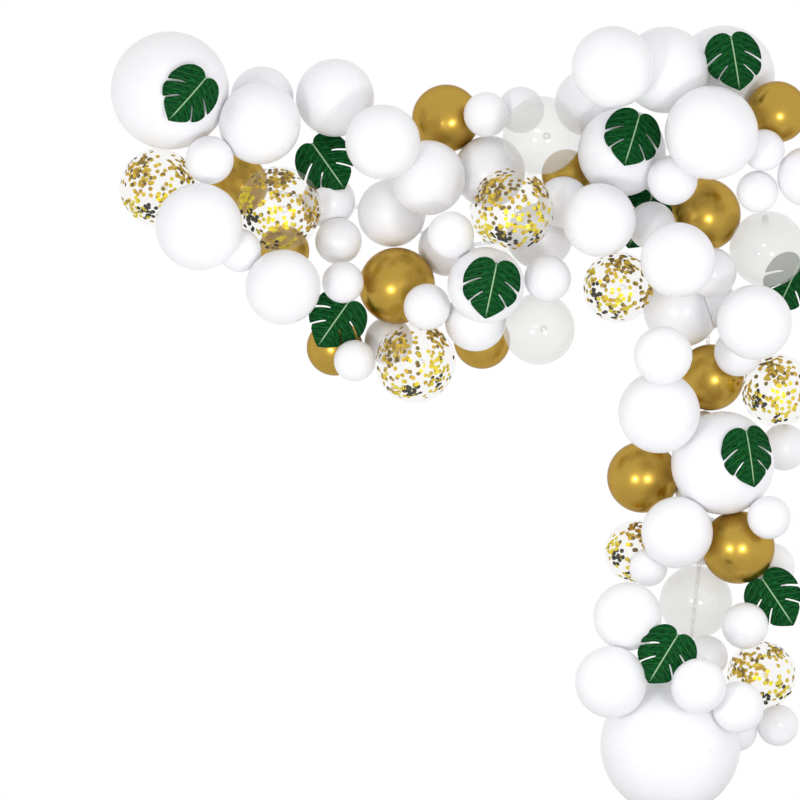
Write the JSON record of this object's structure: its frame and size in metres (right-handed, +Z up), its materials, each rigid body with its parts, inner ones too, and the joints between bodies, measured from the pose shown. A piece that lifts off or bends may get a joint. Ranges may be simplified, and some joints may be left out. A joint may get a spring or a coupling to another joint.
{
  "type": "balloon garland",
  "caption": "Corner garland of latex balloons in white, metallic gold, clear and confetti-filled, with fabric monstera leaves, hung on a flat plastic strip.",
  "frame": {"origin": "back face of the plastic strip at its corner, where the arm and the drop meet", "axes": "+Y into the wall, the front faces -Y; +Z up; +X to the right as seen from the front"},
  "size_m": [2.1713, 0.6965, 2.3787],
  "materials": {
    "clear_plastic_strip": "flat extruded plastic tape",
    "gold_latex": "metallic gold latex, smooth and mirror-like",
    "confetti_latex": "clear latex with loose gold and black foil discs inside",
    "clear_latex": "clear latex, glossy",
    "white_latex": "opaque white latex with a soft sheen",
    "leaf_fabric": "printed leaf fabric with a satin face"
  },
  "bodies": {
    "root": {"balloon_strip": "clear_plastic_strip", "clear_balloon_01": "clear_latex", "clear_balloon_02": "clear_latex", "clear_balloon_03": "clear_latex", "clear_balloon_04": "clear_latex", "confetti_balloon_01": "confetti_latex", "confetti_balloon_02": "confetti_latex", "confetti_balloon_03": "confetti_latex", "confetti_balloon_04": "confetti_latex", "confetti_balloon_05": "confetti_latex", "confetti_balloon_06": "confetti_latex", "confetti_balloon_07": "confetti_latex", "confetti_balloon_08": "confetti_latex", "gold_balloon_01": "gold_latex", "gold_balloon_02": "gold_latex", "gold_balloon_03": "gold_latex", "gold_balloon_04": "gold_latex", "gold_balloon_05": "gold_latex", "gold_balloon_06": "gold_latex", "gold_balloon_07": "gold_latex", "gold_balloon_08": "gold_latex", "gold_balloon_09": "gold_latex", "gold_balloon_10": "gold_latex", "gold_balloon_11": "gold_latex", "gold_balloon_12": "gold_latex", "monstera_leaf_01": "leaf_fabric", "monstera_leaf_02": "leaf_fabric", "monstera_leaf_03": "leaf_fabric", "monstera_leaf_04": "leaf_fabric", "monstera_leaf_05": "leaf_fabric", "monstera_leaf_06": "leaf_fabric", "monstera_leaf_07": "leaf_fabric", "monstera_leaf_08": "leaf_fabric", "monstera_leaf_09": "leaf_fabric", "monstera_leaf_10": "leaf_fabric", "monstera_leaf_11": "leaf_fabric", "white_bunch_01": "white_latex", "white_bunch_02": "white_latex", "white_bunch_03": "white_latex", "white_bunch_04": "white_latex", "white_bunch_05": "white_latex", "white_bunch_06": "white_latex", "white_bunch_07": "white_latex", "white_bunch_08": "white_latex", "white_bunch_09": "white_latex", "white_bunch_10": "white_latex", "white_bunch_11": "white_latex", "white_bunch_12": "white_latex", "white_bunch_13": "white_latex", "white_bunch_14": "white_latex", "white_bunch_15": "white_latex", "white_bunch_16": "white_latex", "white_bunch_17": "white_latex", "white_bunch_18": "white_latex", "white_bunch_19": "white_latex", "white_bunch_20": "white_latex", "white_bunch_21": "white_latex", "white_bunch_22": "white_latex", "white_bunch_23": "white_latex", "white_bunch_24": "white_latex"}
  },
  "joints": []
}
